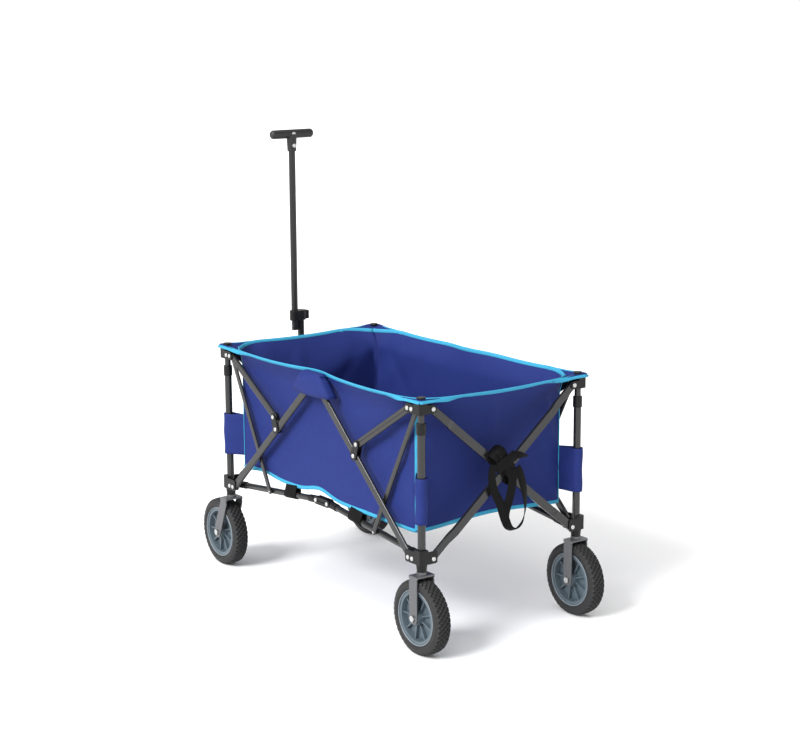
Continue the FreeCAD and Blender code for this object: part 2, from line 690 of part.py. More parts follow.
def handle_grip():
    """T-shaped grip with its socket and two rivets."""
    bar = rod((HANDLE_V, -GRIP_HALF, GRIP_Z), (HANDLE_V, GRIP_HALF, GRIP_Z), GRIP_R)
    bar = eased(bar, GRIP_R * 0.8, lambda e: abs(abs(e.CenterOfMass.y) - GRIP_HALF) < 0.01)
    socket = Part.makeCone(12.0, 14.5, GRIP_Z - 1114, V(HANDLE_V, 0, 1114))
    body = fused([bar, socket])
    body = body.cut(rod((HANDLE_V, 0, 1100), (HANDLE_V, 0, GRIP_Z - GRIP_R), HANDLE_R + FIT))
    rivets = [domed((HANDLE_V - GRIP_R + 0.5, 0, GRIP_Z), V(-1, 0, 0)).cut(body)]
    rivets.append(domed((HANDLE_V - 12.9 + 0.5, 0, 1129), V(-1, 0, 0)).cut(body))
    return Part.makeCompound([body] + rivets)


# --- fabric ----------------------------------------------------------------------------------------


def tub():
    """The fabric tub with its rim, post sleeves, corner flaps and the flaps over the apex joints."""
    half_x = POST_SPACING_X / 2 - TUB_U
    half_y = POST_SPACING_Y / 2 - TUB_W
    walls = box((-half_x, half_x), (-half_y, half_y), (TUB_FLOOR_Z, TUB_RIM_Z))
    inner = box(
        (-half_x + CLOTH, half_x - CLOTH),
        (-half_y + CLOTH, half_y - CLOTH),
        (TUB_FLOOR_Z + CLOTH, TUB_RIM_Z + 1),
    )
    solids = [walls.cut(inner)]
    for side_x, side_y in CORNERS.values():
        solids += corner_cloth(side_x, side_y, half_x, half_y)
    for side_y in (LEFT, RIGHT):
        out = POST_SPACING_Y / 2 + 21.0
        y = sorted((side_y * (half_y - 1), side_y * out))
        solids.append(box((-38, 38), y, (TUB_RIM_Z - CLOTH, TUB_RIM_Z)))
        face = outline([(-38, 0, TUB_RIM_Z), (38, 0, TUB_RIM_Z), (80, 0, 552), (-80, 0, 552)])
        face.translate(V(0, side_y * (out - CLOTH) if side_y == LEFT else side_y * out, 0))
        solids.append(face.extrude(V(0, CLOTH, 0)))
    shape = fused(solids)
    shape.translate(V(MID_X, 0, 0))
    return shape


def corner_cloth(side_x, side_y, half_x, half_y):
    """The sleeve round one post, its web to the tub's corner, and the flap over the top bracket."""
    px, py = side_x * POST_SPACING_X / 2, side_y * POST_SPACING_Y / 2
    r_in, r_out = POST_R + 1.0, POST_R + 1.0 + CLOTH
    sleeve = rod((px, py, SLEEVE_Z[0]), (px, py, SLEEVE_Z[1]), r_out)
    web_face = outline(
        [
            (px - side_x * 4, py - side_y * r_out + side_y * 2.4, SLEEVE_Z[0]),
            (px - side_x * 4, py - side_y * r_out, SLEEVE_Z[0]),
            (side_x * (half_x - 2), side_y * (half_y - 2), SLEEVE_Z[0]),
            (side_x * (half_x - 2), side_y * (half_y), SLEEVE_Z[0]),
        ]
    )
    web = web_face.extrude(V(0, 0, SLEEVE_Z[1] - SLEEVE_Z[0]))
    bore = rod((px, py, SLEEVE_Z[0] - 1), (px, py, SLEEVE_Z[1] + 1), r_in)
    top = TUB_RIM_Z
    flap_face = outline(
        [
            (px + side_x * 16, py + side_y * 16, top - CLOTH),
            (px + side_x * 10, py + side_y * 16, top - CLOTH),
            (px - side_x * 90, side_y * (half_y - 3), top - CLOTH),
            (side_x * (half_x - 3), py - side_y * 90, top - CLOTH),
            (px + side_x * 16, py + side_y * 10, top - CLOTH),
        ]
    )
    flap = flap_face.extrude(V(0, 0, CLOTH)).cut(rod((px, py, 600), (px, py, 630), 7.4))
    return [fused([sleeve, web]).cut(bore), flap]


def floor_straps():
    """Webbing loops under the tub that hold its floor to the rails."""
    loops = []
    for corner in CORNERS:
        along = (POST_SPACING_X / 2 - 145 - RAIL_PIVOT_U) / math.cos(RAIL_OPEN)
        outer = belt(((RAIL_W, 0.0), (RAIL_W, 11.0)), (10.4, 10.399), (-28.0, 28.0), "u")
        inner = belt(((RAIL_W, 0.0), (RAIL_W, 11.0)), (8.8, 8.799), (-29.0, 29.0), "u")
        loop = outer.cut(inner)
        loop.rotate(V(0, 0, 0), V(0, 1, 0), -math.degrees(RAIL_OPEN))
        run, rise = polar(along, RAIL_OPEN)
        loop.translate(V(RAIL_PIVOT_U + run, 0, LOWER_PIVOT_Z + rise))
        loops.append(place(loop, corner))
    return Part.makeCompound(loops)


def rear_strap():
    """Webbing tied at the rear crossing, with two hanging loops."""
    v = (19.2, 22.0)
    knot = belt(((-26.0, CROSS_Z + 12), (26.0, CROSS_Z - 2)), (13.0, 9.0), v, "u")
    loops = []
    for y, low, tilt in ((-14.0, 170.0, 5), (12.0, 130.0, -5)):
        outer = belt(((0.0, 0.0), (0.0, -low + 26)), (13.0, 12.999), v, "u")
        inner = belt(((0.0, -6.0), (0.0, -low + 26)), (10.6, 10.599), (v[0] - 1, v[1] + 1), "u")
        loop = outer.cut(inner)
        loop.rotate(V(0, 0, 0), V(1, 0, 0), tilt)
        loop.translate(V(0, y, CROSS_Z - 4))
        loops.append(loop)
    shape = bored(fused([knot] + loops), [(0.0, CROSS_Z)], (10, 30), "u", PIN_R + 0.3)
    shape = shape.mirror(V(0, 0, 0), V(1, 0, 0))
    moved = shape.copy()
    moved.translate(V(post_x(REAR), 0, 0))
    return moved


# --- output ----------------------------------------------------------------------------------------


def wheel_centre(corner):
    side_x, side_y = CORNERS[corner]
    trail = CASTER_TRAIL if side_x == FRONT else 0.0
    return post_x(side_x) + trail, side_y * POST_SPACING_Y / 2, WHEEL_R


def nodes():
    """Every sub-part by name, in its place on the open cart."""
    found = {}
    drawn = {
        "lower_post": lower_post(),
        "upper_post": upper_post(),
        "lower_bracket": lower_bracket(),
        "upper_bracket": upper_bracket(),
        "long_bar": long_bar(),
        "short_bar": short_bar(),
        "strut": strut(),
        "rail": rail(),
    }
    for corner, (side_x, _) in CORNERS.items():
        for name, shape in drawn.items():
            found[f"{name}_{corner}"] = place(shape, corner)
        trail = CASTER_TRAIL if side_x == FRONT else 0.0
        found[f"fork_{corner}"] = place(fork(trail), corner)
        found[f"tyre_{corner}"] = tyre(wheel_centre(corner))
        found[f"rim_{corner}"] = rim(wheel_centre(corner))
    for side_y, name in ((LEFT, "left"), (RIGHT, "right")):
        found[f"rail_joint_{name}"] = place_centre(rail_joint(side_y == RIGHT), side_y)
        found[f"apex_joint_{name}"] = place_centre(apex_joint(), side_y)
    inner = 4.2 - SET_OVER - 0.3
    found["scissor_front_outer"] = scissor(FRONT, LEFT, True, (inner, BRACKET_V[1] + 0.2))
    found["scissor_front_inner"] = scissor(FRONT, RIGHT, False)
    found["scissor_rear_outer"] = scissor(REAR, LEFT, True, (inner, 22.2))
    found["scissor_rear_inner"] = scissor(REAR, RIGHT, False)
    found["handle_bracket"] = at_front(handle_bracket())
    found["handle_lower"] = at_front(handle_lower())
    found["handle_upper"] = at_front(handle_upper())
    found["handle_grip"] = at_front(handle_grip())
    found["tub"] = tub()
    found["floor_straps"] = floor_straps()
    found["rear_strap"] = rear_strap()
    return found


def main():
    os.makedirs("parts", exist_ok=True)
    for name, shape in nodes().items():
        shape.exportStep(f"parts/{name}.step")


if __name__ == "__main__":
    main()
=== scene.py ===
"""The looks of the folding beach cart: cloth, webbing, tyres and finishes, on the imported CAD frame."""

import math

import bmesh
import bpy
from mathutils import Matrix, Vector


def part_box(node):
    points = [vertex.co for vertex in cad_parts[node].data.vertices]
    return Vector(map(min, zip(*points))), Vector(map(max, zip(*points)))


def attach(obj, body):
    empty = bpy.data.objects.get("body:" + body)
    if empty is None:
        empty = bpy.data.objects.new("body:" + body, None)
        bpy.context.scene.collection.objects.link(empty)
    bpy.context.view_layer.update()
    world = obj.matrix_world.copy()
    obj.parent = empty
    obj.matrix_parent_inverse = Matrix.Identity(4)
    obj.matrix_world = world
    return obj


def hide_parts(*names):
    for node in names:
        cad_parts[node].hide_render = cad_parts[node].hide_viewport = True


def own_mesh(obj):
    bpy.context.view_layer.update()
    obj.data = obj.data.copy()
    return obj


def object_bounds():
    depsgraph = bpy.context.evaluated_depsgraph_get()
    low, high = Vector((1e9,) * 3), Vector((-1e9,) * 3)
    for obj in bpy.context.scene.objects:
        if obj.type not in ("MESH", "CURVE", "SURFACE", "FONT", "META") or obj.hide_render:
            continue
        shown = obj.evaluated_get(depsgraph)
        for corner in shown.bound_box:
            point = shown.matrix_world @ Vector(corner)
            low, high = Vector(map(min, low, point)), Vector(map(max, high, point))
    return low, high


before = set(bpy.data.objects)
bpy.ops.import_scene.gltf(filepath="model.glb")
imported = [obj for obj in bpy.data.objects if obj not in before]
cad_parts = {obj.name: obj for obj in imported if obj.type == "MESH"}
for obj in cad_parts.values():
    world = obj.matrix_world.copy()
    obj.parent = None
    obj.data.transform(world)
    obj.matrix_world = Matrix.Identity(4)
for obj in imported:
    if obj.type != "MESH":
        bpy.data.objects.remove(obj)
cad_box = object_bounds()

CORNERS = {"fl": (1, 1), "fr": (1, -1), "rl": (-1, 1), "rr": (-1, -1)}
SIDES = {"left": 1, "right": -1}

# Where the posts stand, from the CAD.
POST = {}
for corner in CORNERS:
    low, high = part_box("upper_post_" + corner)
    POST[corner] = (low + high) / 2
MID = (POST["fl"] + POST["rr"]) / 2
HALF_X = (POST["fl"].x - POST["rl"].x) / 2
HALF_Y = (POST["fl"].y - POST["fr"].y) / 2
CAP_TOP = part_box("upper_bracket_fl")[1].z
FLOOR_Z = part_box("tub")[0].z

# The tub. Its plan has small round corners below and large ones at the inner rim line. Outside that
# line a flap at each corner reaches a tip over the post.
CLOTH = 0.0022
WALL_X = HALF_X - 0.040
WALL_Y = HALF_Y - 0.016
WALL_ROUND = 0.020
RIM_X = HALF_X + 0.015
RIM_Y = HALF_Y + 0.012
RIM_ROUND_X = 0.135
RIM_ROUND_Y = 0.122
TIP_X = HALF_X + 0.016
TIP_Y = HALF_Y + 0.016
RIM_Z = CAP_TOP - 0.006
RIM_SAG = 0.005
TUB_TALL = RIM_Z - FLOOR_Z

# How far the rim bows in along a long side and an end, and how far the apex joint pulls it in.
LONG_BOW = 0.005
END_BOW = 0.002
APEX_PULL = 0.014
APEX_PULL_WIDTH = 0.070

# The share of a wall's places that lie on its straight part, and the heights where it starts to
# flare out to the rim.
STRAIGHT_SHARE = 0.78
FLARE_FROM = {"long": 0.552, "end": 0.500, "corner": 0.560}

# The lowest part of the walls' lower edge.
HEM_Z = FLOOR_Z - 0.005

# The binding tapes, and how far each stands past the edge that it binds.
RIM_TAPE = 0.011
EDGE_TAPE = 0.010
TAPE_THICK = 0.0040
TAPE_PAST = 0.001


# ---------------------------------------------------------------- small helpers


def smooth(value):
    """0 to 1 with soft ends."""
    value = min(1.0, max(0.0, value))
    return value * value * (3 - 2 * value)


def mix(first, second, share):
    """The value at that share of the way from first to second."""
    return first + (second - first) * share


def steps(low, high, count):
    """count + 1 evenly spaced values from low to high."""
    return [mix(low, high, i / count) for i in range(count + 1)]


def hump(value, centre, width):
    """1 at the centre, falling smoothly to 0 on both sides."""
    return math.exp(-(((value - centre) / width) ** 2))


def linear(red, green, blue):
    """A screen colour, 0 to 255, as the shader's linear colour."""
    parts = []
    for channel in (red, green, blue):
        share = channel / 255
        parts.append(share / 12.92 if share <= 0.04045 else ((share + 0.055) / 1.055) ** 2.4)
    return (*parts, 1.0)


# ---------------------------------------------------------------- materials


def plain(name, colour, roughness, metallic=0.0, **extra):
    """A material with one shader; extra holds more socket values by their names."""
    material = bpy.data.materials.new(name)
    material.use_nodes = True
    shader = material.node_tree.nodes["Principled BSDF"]
    shader.inputs["Base Color"].default_value = colour
    shader.inputs["Roughness"].default_value = roughness
    shader.inputs["Metallic"].default_value = metallic
    for socket, value in extra.items():
        shader.inputs[socket.replace("_", " ")].default_value = value
    return material


def node(material, kind, **values):
    """A shader node with its settings and its unlinked sockets filled in."""
    made = material.node_tree.nodes.new(kind)
    for key, value in values.items():
        if hasattr(made, key):
            setattr(made, key, value)
        else:
            made.inputs[key.replace("_", " ")].default_value = value
    return made


def link(material, source, out, target, into):
    material.node_tree.links.new(source.outputs[out], target.inputs[into])


def mottle(material, scale, low, high, depth):
    """Fine uneven surface: the colour varies from low to high times itself, with bumps that deep."""
    shader = material.node_tree.nodes["Principled BSDF"]
    colour = shader.inputs["Base Color"].default_value
    place = node(material, "ShaderNodeTexCoord")
    noise = node(material, "ShaderNodeTexNoise", Scale=scale, Detail=4.0, Roughness=0.6)
    ramp = node(material, "ShaderNodeValToRGB")
    ramp.color_ramp.elements[0].position = 0.35
    ramp.color_ramp.elements[1].position = 0.65
    ramp.color_ramp.elements[0].color = (*[part * low for part in colour[:3]], 1.0)
    ramp.color_ramp.elements[1].color = (*[min(1.0, part * high) for part in colour[:3]], 1.0)
    bump = node(material, "ShaderNodeBump", Strength=0.6, Distance=depth)
    link(material, place, "Object", noise, "Vector")
    link(material, noise, "Fac", ramp, "Fac")
    link(material, ramp, "Color", shader, "Base Color")
    link(material, noise, "Fac", bump, "Height")
    link(material, bump, "Normal", shader, "Normal")


def weave(material, pitch, depth, shade):
    """Crossed threads that far apart, on a cloth whose UV map is in metres, with painted shade in the
    gaps between them.
    """
    shader = material.node_tree.nodes["Principled BSDF"]
    colour = shader.inputs["Base Color"].default_value
    place = node(material, "ShaderNodeTexCoord")
    threads = []
    for direction in ("X", "Y"):
        wave = node(material, "ShaderNodeTexWave", bands_direction=direction)
        wave.inputs["Scale"].default_value = 2 * math.pi / (20 * pitch)
        link(material, place, "UV", wave, "Vector")
        threads.append(wave)
    height = node(material, "ShaderNodeMath", operation="MULTIPLY")
    link(material, threads[0], "Fac", height, 0)
    link(material, threads[1], "Fac", height, 1)
    slub = node(material, "ShaderNodeTexNoise", Scale=60.0, Detail=3.0)
    link(material, place, "UV", slub, "Vector")
    # Painted shade: the gaps between threads are darkened by the shade factor where the weave's height
    # is low.
    painted_gap_shade = node(material, "ShaderNodeMix", data_type="RGBA", blend_type="MIX")
    painted_gap_shade.inputs["A"].default_value = (*[part * shade for part in colour[:3]], 1.0)
    painted_gap_shade.inputs["B"].default_value = colour
    link(material, height, "Value", painted_gap_shade, "Factor")
    tone = node(material, "ShaderNodeMix", data_type="RGBA", blend_type="MULTIPLY")
    tone.inputs["Factor"].default_value = 0.16
    link(material, painted_gap_shade, "Result", tone, "A")
    link(material, slub, "Fac", tone, "B")
    bump = node(material, "ShaderNodeBump", Strength=0.5, Distance=depth)
    link(material, height, "Value", bump, "Height")
    link(material, tone, "Result", shader, "Base Color")
    link(material, bump, "Normal", shader, "Normal")


STEEL = plain("powder_coat", linear(43, 43, 44), 0.22, metallic=0.45, Specular_IOR_Level=0.7)
mottle(STEEL, scale=900, low=0.90, high=1.12, depth=0.0001)
FORK_STEEL = plain("fork_coat", linear(92, 93, 95), 0.36, metallic=0.45)
mottle(FORK_STEEL, scale=900, low=0.90, high=1.10, depth=0.0001)
BLACK_TUBE = plain("handle_coat", linear(33, 33, 34), 0.30, metallic=0.3)
mottle(BLACK_TUBE, scale=900, low=0.90, high=1.10, depth=0.0001)
PLASTIC = plain("black_plastic", linear(15, 15, 16), 0.40, Specular_IOR_Level=0.25)
mottle(PLASTIC, scale=700, low=0.90, high=1.10, depth=0.0001)
ZINC = plain("zinc", linear(188, 188, 187), 0.36, metallic=0.7)
mottle(ZINC, scale=500, low=0.90, high=1.05, depth=0.00005)
GRIP = plain("grip_rubber", linear(24, 24, 25), 0.50)
mottle(GRIP, scale=1600, low=0.85, high=1.15, depth=0.0002)
RIM = plain("rim_plastic", linear(74, 86, 94), 0.40)
mottle(RIM, scale=400, low=0.93, high=1.07, depth=0.0001)
RING = plain("rim_ring", linear(128, 138, 146), 0.36)
mottle(RING, scale=400, low=0.95, high=1.05, depth=0.00005)
TYRE = plain("tyre_foam", linear(31, 31, 32), 0.60, Specular_IOR_Level=0.35)
mottle(TYRE, scale=350, low=0.85, high=1.15, depth=0.0003)
FABRIC = plain("navy_cloth", linear(38, 52, 119), 0.66, Specular_IOR_Level=0.12)
weave(FABRIC, pitch=0.0011, depth=0.00012, shade=0.72)
BINDING = plain("cyan_binding", linear(64, 162, 200), 0.60, Specular_IOR_Level=0.12)
weave(BINDING, pitch=0.0014, depth=0.0002, shade=0.80)
WEBBING = plain("black_webbing", linear(12, 12, 13), 0.66, Specular_IOR_Level=0.12)
weave(WEBBING, pitch=0.0022, depth=0.0005, shade=0.55)


# ---------------------------------------------------------------- building cloth and tape


class Piece:
    """A named mesh under construction, with its materials and a UV map in metres."""

    def __init__(self, name, materials):
        self.name = name
        self.materials = list(materials)
        self.mesh = bmesh.new()
        self.uv = self.mesh.loops.layers.uv.new("metres")

    def quad(self, corners, places, material):
        """One face from vertices, with the place of each on the cloth."""
        kept = []
        for vertex, place in zip(corners, places):
            if vertex not in [found[0] for found in kept]:
                kept.append((vertex, place))
        if len(kept) < 3:
            return
        face = self.mesh.faces.new([vertex for vertex, _ in kept])
        face.smooth = True
        face.material_index = self.materials.index(material)
        for loop, (_, place) in zip(face.loops, kept):
            loop[self.uv].uv = place

    def skin(self, rings, lengths, widths, material, wrap_across, wrap_along=False):
        """Faces between rows of vertices. lengths and widths are each row's and column's place."""
        rows = len(rings) if wrap_along else len(rings) - 1
        columns = len(rings[0]) if wrap_across else len(rings[0]) - 1
        for i in range(rows):
            near, far = rings[i], rings[(i + 1) % len(rings)]
            for j in range(columns):
                k = (j + 1) % len(near)
                corners = (near[j], far[j], far[k], near[k])
                places = (
                    (lengths[i], widths[j]),
                    (lengths[i + 1], widths[j]),
                    (lengths[i + 1], widths[j + 1]),
                    (lengths[i], widths[j + 1]),
                )
                self.quad(corners, places, material)

    def sheet(self, grid, thick, material, round_ring=False):
        """Cloth of that thickness on a grid of points, row by row. round_ring joins each row's ends."""
        rows, columns = len(grid), len(grid[0])
        last = columns if round_ring else columns - 1
        front, back = [], []
        for i in range(rows):
            front.append([])
            back.append([])
            for j in range(columns):
                after = (j + 1) % columns if round_ring else min(j + 1, columns - 1)
                before = (j - 1) % columns if round_ring else max(j - 1, 0)
                across = grid[i][after] - grid[i][before]
                along = grid[min(i + 1, rows - 1)][j] - grid[max(i - 1, 0)][j]
                out = across.cross(along).normalized() * thick / 2
                front[i].append(self.mesh.verts.new(grid[i][j] + out))
                back[i].append(self.mesh.verts.new(grid[i][j] - out))
        lengths = travelled([row[columns // 2] for row in grid])
        widths = travelled(grid[rows // 2] + ([grid[rows // 2][0]] if round_ring else []))
        self.skin(front, lengths, widths, material, round_ring)
        self.skin([row[::-1] for row in back], lengths, widths[::-1], material, round_ring)
        for i in (0, rows - 1):
            for j in range(last):
                k = (j + 1) % columns
                corners = (front[i][j], front[i][k], back[i][k], back[i][j])
                places = [(lengths[i], widths[j])] * 2 + [(lengths[i] + thick, widths[j])] * 2
                self.quad(corners if i == 0 else corners[::-1], places, material)
        if not round_ring:
            for j in (0, columns - 1):
                for i in range(rows - 1):
                    corners = (front[i][j], back[i][j], back[i + 1][j], front[i + 1][j])
                    places = [(lengths[i], widths[j])] * 2 + [(lengths[i + 1], widths[j])] * 2
                    self.quad(corners if j == 0 else corners[::-1], places, material)

    def tape(self, path, outs, width, thick, material, closed=False, widths=None):
        """A flat tape with soft edges along a path. outs point away from its broad face."""
        ease = min(width, thick) * 0.35
        w, t = width / 2, thick / 2
        section = [(-w, -t + ease), (-w + ease, -t), (w - ease, -t), (w, -t + ease)]
        section += [(-a, -b) for a, b in section]
        rings = []
        count = len(path)
        for i, point in enumerate(path):
            after = path[(i + 1) % count] if closed else path[min(i + 1, count - 1)]
            before = path[i - 1] if closed or i else path[0]
            along = (after - before).normalized()
            across = along.cross(outs[i]).normalized()
            out = across.cross(along).normalized()
            share = widths[i] if widths else 1.0
            rings.append([self.mesh.verts.new(point + across * a * share + out * b) for a, b in section])
        lengths = travelled(path + ([path[0]] if closed else []))
        around = travelled([Vector((a, b, 0)) for a, b in section + section[:1]])
        self.skin(rings, lengths, around, material, True, closed)
        if not closed:
            for ring in (rings[0], rings[-1][::-1]):
                self.quad(ring, [(0.0, 0.0)] * len(ring), material)

    def finished_mesh(self):
        """The mesh as built so far, which ends the building."""
        bmesh.ops.recalc_face_normals(self.mesh, faces=self.mesh.faces[:])
        data = bpy.data.meshes.new(self.name)
        self.mesh.to_mesh(data)
        self.mesh.free()
        for material in self.materials:
            data.materials.append(material)
        return data

    def done(self, body):
        """The finished object, riding on a CAD body."""
        made = bpy.data.objects.new(self.name, self.finished_mesh())
        bpy.context.scene.collection.objects.link(made)
        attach(made, body)
        return made


def travelled(points):
    """How far along the line each point lies."""
    total, found = 0.0, [0.0]
    for before, after in zip(points, points[1:]):
        total += (after - before).length
        found.append(total)
    return found


def belt_line(first, first_r, second, second_r, count):
    """The closed line of a belt round two circles in a plane: points and their outward directions."""
    run = Vector(second) - Vector(first)
    heading = math.atan2(run.y, run.x)
    lean = math.acos((first_r - second_r) / run.length)
    points, outs = [], []
    for centre, radius, start, end in (
        (Vector(first), first_r, heading + lean, heading + 2 * math.pi - lean),
        (Vector(second), second_r, heading - lean, heading + lean),
    ):
        for angle in steps(start, end, count):
            out = Vector((math.cos(angle), math.sin(angle)))
            points.append(centre + out * radius)
            outs.append(out)
    return points, outs


# ---------------------------------------------------------------- the tub


def around(place, half_along, half_out, round_along, round_out):
    """A point of one side of a rounded rectangle: (along, out) for place from -1 to 1."""
    if abs(place) <= STRAIGHT_SHARE:
        return (place / STRAIGHT_SHARE * (half_along - round_along), half_out)
    turn = (abs(place) - STRAIGHT_SHARE) / (1 - STRAIGHT_SHARE) * math.pi / 4
    along = half_along - round_along + round_along * math.sin(turn)
    return (math.copysign(along, place), half_out - round_out * (1 - math.cos(turn)))


def long_rim(along):
    """The outer edge of a long side above one point of it: (out, z)."""
    share = along / TIP_X
    out = TIP_Y - LONG_BOW * (1 - share * share) - APEX_PULL * hump(along, 0, APEX_PULL_WIDTH)
    return (out, RIM_Z - RIM_SAG * math.sin(math.pi * share) ** 2)


def end_rim(along):
    """The outer edge of an end above one point of it: (out, z)."""
    share = along / TIP_Y
    out = TIP_X - END_BOW * (1 - share * share)
    return (out, RIM_Z - RIM_SAG * 0.8 * math.cos(math.pi / 2 * share) ** 2)


def long_hem(along):
    """The height of a long wall's lower edge: it lifts in the middle and again near the front."""
    return HEM_Z + 0.016 * hump(along, 0.020, 0.060) + 0.009 * hump(along, 0.285, 0.060)


def end_hem(along):
    """The height of an end's lower edge: it lifts in the middle."""
    return HEM_Z + 0.011 * math.cos(math.pi / 2 * along / WALL_Y) ** 2


# Creases in the cloth: (wall kind, side, start, end, height outward). Starts and ends are shares of
# the wall's half length and of its height.
CREASES = (
    ("end", -1, (0.14, 0.93), (-0.06, 0.60), 0.0060),
    ("end", -1, (-0.74, 0.92), (-0.84, 0.38), 0.0060),
    ("end", -1, (0.84, 0.84), (0.28, 0.56), 0.0045),
    ("end", -1, (-0.30, 0.40), (-0.62, 0.12), -0.0040),
    ("end", 1, (-0.82, 0.92), (-0.34, 0.52), 0.0032),
    ("end", 1, (0.06, 0.92), (0.26, 0.54), -0.0034),
    ("end", 1, (0.74, 0.94), (0.52, 0.40), 0.0034),
    ("long", 1, (-0.95, 0.55), (-0.62, 0.10), 0.0028),
    ("long", 1, (-0.80, 0.46), (-0.46, 0.06), -0.0026),
    ("long", 1, (0.92, 0.40), (0.66, 0.10), 0.0024),
    ("long", -1, (0.90, 0.92), (0.62, 0.48), 0.0034),
    ("long", -1, (0.34, 0.90), (0.44, 0.50), -0.0030),
    ("long", -1, (-0.70, 0.86), (-0.52, 0.44), 0.0028),
)
CREASE_WIDTH = 0.019

# Heights of the shallow folds near the upper corners, of the soft waves and of the inward billow.
CORNER_FOLD = 0.0032
SOFT_WAVE = 0.0016
BILLOW = -0.0035


class Wall:
    """One of the four walls: how its place and height give a point. Low and high are its plan at the
    hem and at the inner rim line, in the order that around() takes."""

    def __init__(self, kind, side):
        self.kind = kind
        self.side = side
        if kind == "long":
            self.low = (WALL_X, WALL_Y, WALL_ROUND, WALL_ROUND)
            self.high = (RIM_X, RIM_Y, RIM_ROUND_X, RIM_ROUND_Y)
            self.rim, self.hem = long_rim, long_hem
        else:
            self.low = (WALL_Y, WALL_X, WALL_ROUND, WALL_ROUND)
            self.high = (RIM_Y, RIM_X, RIM_ROUND_Y, RIM_ROUND_X)
            self.rim, self.hem = end_rim, end_hem

    def world(self, along, out, z):
        """The point so far along the wall, so far out from the cart's middle and so high."""
        if self.kind == "long":
            return Vector((MID.x + along, self.side * out, z))
        return Vector((MID.x + self.side * out, along, z))

    def top(self, place):
        """The wall's top edge: (along, out, z). Past the straight part it is the inner rim line."""
        along, out = around(place, *self.high)
        straight = self.high[0] - self.high[2]
        rim_out, rim_z = self.rim(min(straight, max(-straight, along)))
        share = smooth((abs(place) - STRAIGHT_SHARE) / (1 - STRAIGHT_SHARE))
        corner_z = RIM_Z - RIM_SAG * 0.9
        return (along, rim_out + (out - self.high[1]), mix(rim_z, corner_z, share))

    def point(self, place, rise):
        """rise is 0 at the hem and 1 at the top edge."""
        foot_along, foot_out = around(place, *self.low)
        head_along, head_out, head_z = self.top(place)
        foot_z = self.hem(foot_along)
        z = mix(foot_z, head_z, rise)
        start = mix(FLARE_FROM[self.kind], FLARE_FROM["corner"], smooth(abs(place)))
        flare = max(0.0, (z - start) / (head_z - start)) ** 1.5
        along = mix(foot_along, head_along, flare)
        out = mix(foot_out, head_out, flare)
        edge = smooth((1 - abs(place)) / 0.18)
        out += edge * self.fold(place, along, z) * (1 - flare)
        out += edge * self.crease(along, z) * (1 - flare**3)
        return self.world(along, out, z)

    def crease(self, along, z):
        """How far the creases push one point of the wall outward."""
        point = Vector((along, z - FLOOR_Z))
        total = 0.0
        for kind, side, start, end, height in CREASES:
            if (kind, side) != (self.kind, self.side):
                continue
            first = Vector((start[0] * self.low[0], start[1] * TUB_TALL))
            run = Vector((end[0] * self.low[0], end[1] * TUB_TALL)) - first
            share = min(1.0, max(0.0, (point - first).dot(run) / run.length_squared))
            away = (point - first - run * share).length / CREASE_WIDTH
            total += height * math.exp(-away * away) * math.sin(math.pi * (0.12 + 0.76 * share))
        return total

    def slope(self, place):
        """The direction up the wall at its top edge."""
        return (self.point(place, 1) - self.point(place, 0.975)).normalized()

    def fold(self, place, along, z):
        """Folds that run down and inward from the upper corners, soft waves and a slight billow."""
        level = min(1.0, max(0.0, (z - FLOOR_Z) / TUB_TALL))
        reach = abs(along) if self.kind == "long" else abs(along) * 1.4
        slant = math.sin(46 * (reach * 0.8 + z * 1.1) + 0.7 * self.side)
        near_corner = smooth(abs(place) * 1.3 - 0.35) * smooth(level * 1.4)
        wave = math.sin(23 * along + 9 * z + self.side) * math.sin(math.pi * level)
        billow = math.cos(math.pi / 2 * place) * math.sin(math.pi * level)
        return CORNER_FOLD * slant * near_corner + SOFT_WAVE * wave + BILLOW * billow

    def outward(self, place):
        """The level direction out of the wall, for tape laid on its edges."""
        ahead = self.world(*around(place + 0.01, *self.high), 0)
        behind = self.world(*around(place - 0.01, *self.high), 0)
        along = (ahead - behind).normalized()
        out = along.cross(Vector((0, 0, 1)))
        middle = self.world(0, 1, 0) - self.world(0, 0, 0)
        return out if out.dot(middle) > 0 else -out


# Places along a wall and up it. The rows are closer together at the hem and the rim.
PLACES = steps(-1, 1, 96)
RISES = [smooth(value) * 0.4 + value * 0.6 for value in steps(0, 1, 36)]


def build_wall(name, kind, side, body):
    """A wall with tape on its rim, its hem and, on a long wall, its corner seams."""
    wall = Wall(kind, side)
    piece = Piece(name, (FABRIC, BINDING))
    piece.sheet([[wall.point(place, rise) for place in PLACES] for rise in RISES], CLOTH, FABRIC)
    outs = [wall.outward(place) for place in PLACES]
    crest, faces = [], []
    for place, out in zip(PLACES, outs):
        rise = wall.slope(place)
        crest.append(wall.point(place, 1) - rise * (RIM_TAPE / 2 - TAPE_PAST))
        faces.append((out * rise.z - Vector((0, 0, 1)) * rise.dot(out)).normalized())
    piece.tape(crest, faces, RIM_TAPE, TAPE_THICK, BINDING)
    hem = [wall.point(place, 0) + Vector((0, 0, EDGE_TAPE / 2 - TAPE_PAST)) for place in PLACES]
    piece.tape(hem, outs, EDGE_TAPE, TAPE_THICK, BINDING)
    if kind == "long":
        for end in (-1, 1):
            out = corner_out(end, side)
            seam = [wall.point(end, rise) + out * CLOTH for rise in RISES]
            piece.tape(seam, [out] * len(seam), EDGE_TAPE, CLOTH, BINDING)
    made = piece.done(body)
    if kind == "long":
        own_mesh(made)
    else:
        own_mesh(made)
    return made


def corner_out(side_x, side_y):
    """The level direction out of a corner of the tub."""
    return Vector((side_x, side_y, 0)).normalized()


left_wall = build_wall("tub_wall_left", "long", 1, "upper_fl")
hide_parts("tub")
build_wall("tub_wall_right", "long", -1, "upper_fr")
build_wall("tub_wall_front", "end", 1, "upper_fl")
build_wall("tub_wall_rear", "end", -1, "upper_rl")


FLAP_STEPS = 12


